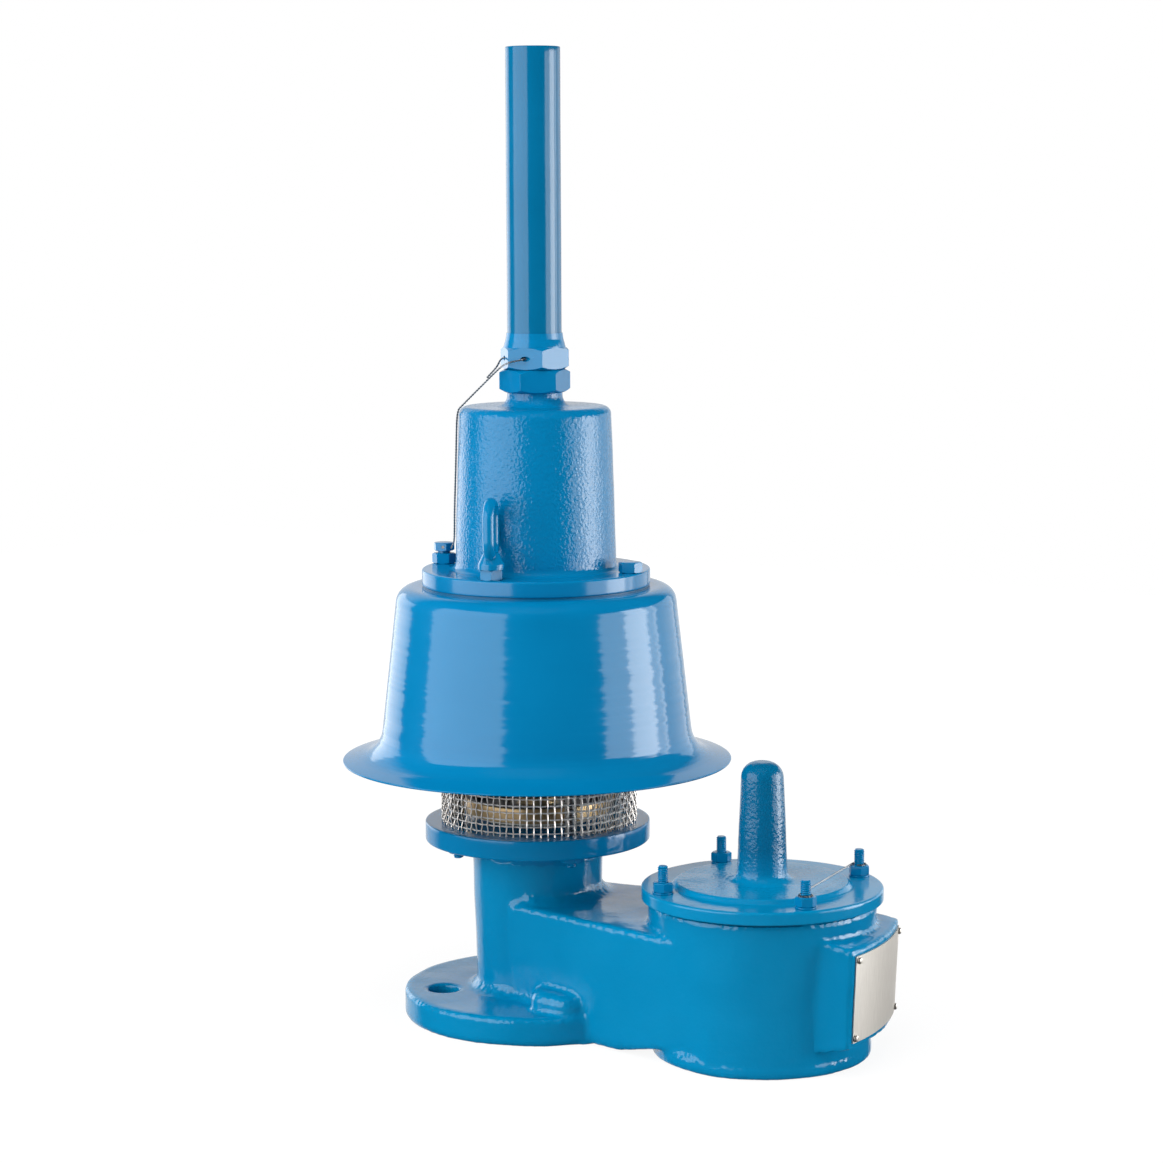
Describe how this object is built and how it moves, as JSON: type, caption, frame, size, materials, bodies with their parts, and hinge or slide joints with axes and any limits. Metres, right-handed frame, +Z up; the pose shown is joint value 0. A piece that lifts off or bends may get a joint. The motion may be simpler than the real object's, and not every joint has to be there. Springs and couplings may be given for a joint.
{
  "type": "tank breather valve",
  "caption": "Spring loaded pressure relief under a weather hood with a weight loaded vacuum pallet in a side drum, flanged for a tank roof nozzle.",
  "frame": {"origin": "centre of the tank flange's face", "axes": "+Z up along the port and the stem housing, +X from the port to the drum"},
  "size_m": [0.3646, 0.2418, 0.5986],
  "materials": {
    "blue_enamel": "gloss enamel over cast metal and spun sheet",
    "stainless_steel": "turned",
    "screen_wire": "bright woven wire",
    "bronze": "turned",
    "gasket": "matt",
    "seal_film": "matt",
    "seal_wire_steel": "drawn wire",
    "plate_metal": "brushed, bare"
  },
  "bodies": {
    "valve_body": {"body_casting": "blue_enamel", "post_nuts": "blue_enamel", "support_plate": "blue_enamel", "hood": "blue_enamel", "bonnet": "blue_enamel", "bonnet_bolts": "blue_enamel", "seal_bolt": "blue_enamel", "seal_bolt_nut": "blue_enamel", "eye_stud": "blue_enamel", "eye_lock_nut": "blue_enamel", "lifting_eye": "blue_enamel", "lock_nut": "blue_enamel", "housing_hexagon": "blue_enamel", "housing_pipe": "blue_enamel", "housing_end_disc": "blue_enamel", "drum_cover": "blue_enamel", "cover_studs": "blue_enamel", "cover_washers": "blue_enamel", "cover_nuts": "blue_enamel", "pressure_seat_ring": "stainless_steel", "vacuum_seat_ring": "stainless_steel", "inlet_screen": "stainless_steel", "inlet_retaining_ring": "stainless_steel", "inlet_screws": "stainless_steel", "posts": "stainless_steel", "pressure_spring": "stainless_steel", "screen_uprights": "screen_wire", "screen_hoops": "screen_wire", "stem_bush": "bronze", "bonnet_gasket": "gasket", "cover_gasket": "gasket", "cover_bush": "seal_film", "seal_wire": "seal_wire_steel", "cover_seal_wire": "seal_wire_steel", "nameplate": "plate_metal", "nameplate_screws": "plate_metal"},
    "pressure_assembly": {"pressure_pallet": "bronze", "pressure_seal": "seal_film", "pressure_retainer": "stainless_steel", "pressure_stem_nuts": "stainless_steel", "pressure_stem": "stainless_steel", "lower_spring_button": "stainless_steel", "stem_pin": "stainless_steel"},
    "spring_adjuster": {"upper_spring_button": "stainless_steel"},
    "screw": {"adjusting_screw": "stainless_steel"},
    "vacuum_assembly": {"vacuum_pallet": "stainless_steel", "vacuum_seal": "seal_film", "vacuum_retainer": "stainless_steel", "vacuum_stem_nuts": "stainless_steel", "vacuum_stem": "stainless_steel", "vacuum_weights": "stainless_steel"}
  },
  "joints": [
    {"name": "pressure_lift", "type": "slide", "parent": "valve_body", "child": "pressure_assembly", "axis": [0, 0, 1], "range_m": [0, 0.013], "stiffness_N_per_m": 1500, "springref_m": -0.012, "deforming": ["pressure_spring"]},
    {"name": "vacuum_lift", "type": "slide", "parent": "valve_body", "child": "vacuum_assembly", "axis": [0, 0, 1], "range_m": [0, 0.0145]},
    {"name": "adjuster_feed", "type": "slide", "parent": "valve_body", "child": "spring_adjuster", "axis": [0, 0, 1], "range_m": [-0.004, 0.004]},
    {"name": "adjuster_turn", "type": "hinge", "parent": "spring_adjuster", "child": "screw", "pos_m": [0, 0, 0.4], "axis": [0, 0, 1], "range_deg": [-721, 721]}
  ],
  "couplings": [
    {"joint": "adjuster_turn", "follows": "adjuster_feed", "rad_per_m": 3141.6}
  ]
}
